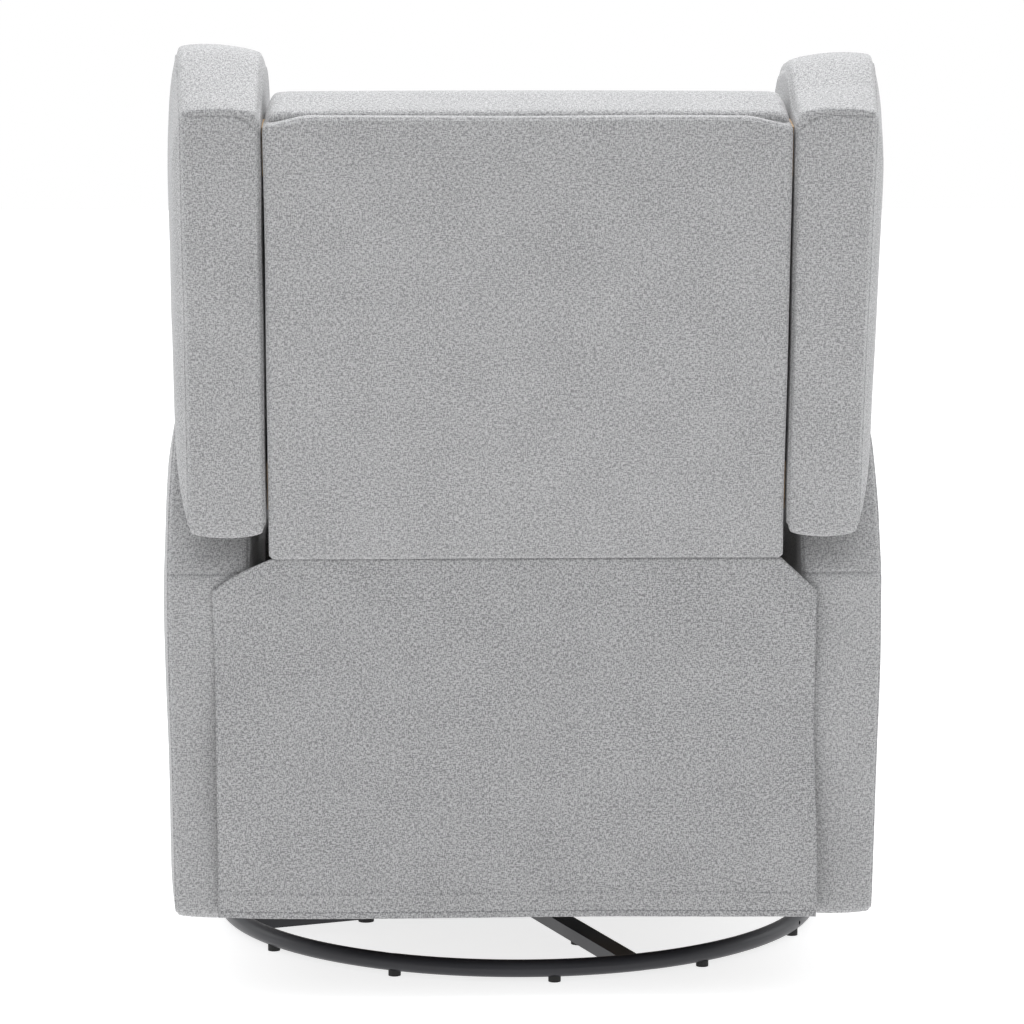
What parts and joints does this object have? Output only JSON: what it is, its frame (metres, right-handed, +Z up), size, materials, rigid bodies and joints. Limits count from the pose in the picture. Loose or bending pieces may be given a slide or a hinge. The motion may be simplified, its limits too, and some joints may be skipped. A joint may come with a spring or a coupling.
{
  "type": "swivel glider recliner",
  "caption": "Upholstered wing-back nursery chair that swivels on a round tubular base, glides on hanging links, reclines and raises a footrest.",
  "frame": {"origin": "on the floor, on the swivel axis, at the centre of the chair's overall width and depth", "axes": "+Z up, the sitter faces -Y, +X is the sitter's left"},
  "size_m": [0.752, 0.956, 0.9918],
  "materials": {
    "upholstery": "heathered linen weave",
    "upholstery_skirt": "heathered linen weave",
    "black_tube": "satin black powder coat",
    "bearing_steel": "ground steel",
    "mechanism_steel": "black enamel",
    "spring_wire": "oiled spring wire",
    "zinc_fasteners": "zinc plated",
    "foot_rubber": "matt",
    "frame_timber": "planed, unfinished",
    "deck_felt": "needled felt",
    "webbing": "woven tape"
  },
  "bodies": {
    "base": {"base_ring": "black_tube", "base_cross_bars": "black_tube", "ring_feet": "foot_rubber", "bar_feet": "foot_rubber", "hub_plate": "black_tube", "bearing_lower_race": "bearing_steel", "bearing_balls": "bearing_steel", "swivel_stud": "zinc_fasteners", "swivel_nut": "zinc_fasteners"},
    "swivel_frame": {"bearing_upper_race": "bearing_steel", "swivel_plate": "mechanism_steel", "race_bolts": "zinc_fasteners", "glider_cross_tubes": "mechanism_steel", "glider_side_rails": "mechanism_steel", "hanger_plates": "mechanism_steel", "hanger_pins": "zinc_fasteners"},
    "front_links": {"front_glide_links": "mechanism_steel"},
    "rear_links": {"rear_glide_links": "mechanism_steel"},
    "seat": {"seat_side_plates": "mechanism_steel", "side_plate_pins": "zinc_fasteners", "seat_side_rails": "frame_timber", "seat_front_rail": "frame_timber", "seat_rear_rail": "frame_timber", "seat_springs": "spring_wire", "seat_deck": "deck_felt", "seat_cushion": "upholstery", "recline_hinge_plates": "mechanism_steel", "arm_bolts": "zinc_fasteners", "left_arm_outer_panel": "upholstery", "left_arm_inner_panel": "upholstery", "left_arm_edge_pads": "upholstery", "left_arm_frame": "frame_timber", "right_arm_outer_panel": "upholstery", "right_arm_inner_panel": "upholstery", "right_arm_edge_pads": "upholstery", "right_arm_frame": "frame_timber"},
    "back": {"back_uprights": "frame_timber", "back_rails": "frame_timber", "back_springs": "spring_wire", "back_hinge_brackets": "mechanism_steel", "back_cushion": "upholstery", "outer_back_panel": "upholstery", "left_wing_board": "frame_timber", "left_wing_pad": "upholstery", "right_wing_board": "frame_timber", "right_wing_pad": "upholstery"},
    "skirt": {"rear_skirt": "upholstery_skirt"},
    "footrest_thighs": {"footrest_thigh_links": "mechanism_steel", "footrest_torque_tube": "mechanism_steel"},
    "footrest_shanks": {"footrest_knee_links": "mechanism_steel"},
    "footrest": {"footrest_brackets": "mechanism_steel", "footrest_board": "frame_timber", "footrest_pad": "upholstery"},
    "pull": {"release_pull": "webbing"}
  },
  "joints": [
    {"name": "swivel", "type": "hinge", "parent": "base", "child": "swivel_frame", "pos_m": [0, 0, 0.03], "axis": [0, 0, 1], "continuous": true},
    {"name": "glide", "type": "hinge", "parent": "swivel_frame", "child": "front_links", "pos_m": [0, -0.15, 0.215], "axis": [1, 0, 0], "range_deg": [-14, 14]},
    {"name": "seat_level", "type": "hinge", "parent": "front_links", "child": "seat", "pos_m": [0, -0.15, 0.095], "axis": [1, 0, 0], "range_deg": [-14, 14]},
    {"name": "rear_link_swing", "type": "hinge", "parent": "swivel_frame", "child": "rear_links", "pos_m": [0, 0.15, 0.215], "axis": [1, 0, 0], "range_deg": [-14, 14]},
    {"name": "recline", "type": "hinge", "parent": "seat", "child": "back", "pos_m": [0, 0.33026, 0.44], "axis": [-1, 0, 0], "range_deg": [0, 30]},
    {"name": "skirt_hang", "type": "hinge", "parent": "back", "child": "skirt", "pos_m": [0, 0.40026, 0.4655], "axis": [-1, 0, 0], "range_deg": [-30, 0]},
    {"name": "footrest_open", "type": "hinge", "parent": "seat", "child": "footrest_thighs", "pos_m": [0, -0.24, 0.29], "axis": [-1, 0, 0], "range_deg": [0, 75]},
    {"name": "footrest_knee", "type": "hinge", "parent": "footrest_thighs", "child": "footrest_shanks", "pos_m": [0, -0.28141, 0.13545], "axis": [-1, 0, 0], "range_deg": [-119.14, 0]},
    {"name": "footrest_turn", "type": "hinge", "parent": "footrest_shanks", "child": "footrest", "pos_m": [0, -0.4, 0.33], "axis": [-1, 0, 0], "range_deg": [0, 134.13]},
    {"name": "release_lift", "type": "slide", "parent": "seat", "child": "pull", "axis": [0, 0, 1], "range_m": [0, 0.02], "stiffness_N_per_m": 300, "springref_m": -0.004}
  ],
  "couplings": [
    {"joint": "seat_level", "follows": "glide", "ratio": -1},
    {"joint": "rear_link_swing", "follows": "glide", "ratio": 1},
    {"joint": "skirt_hang", "follows": "recline", "ratio": -1},
    {"joint": "footrest_knee", "follows": "footrest_open", "ratio": -1.5818},
    {"joint": "footrest_turn", "follows": "footrest_open", "ratio": 1.7818}
  ]
}
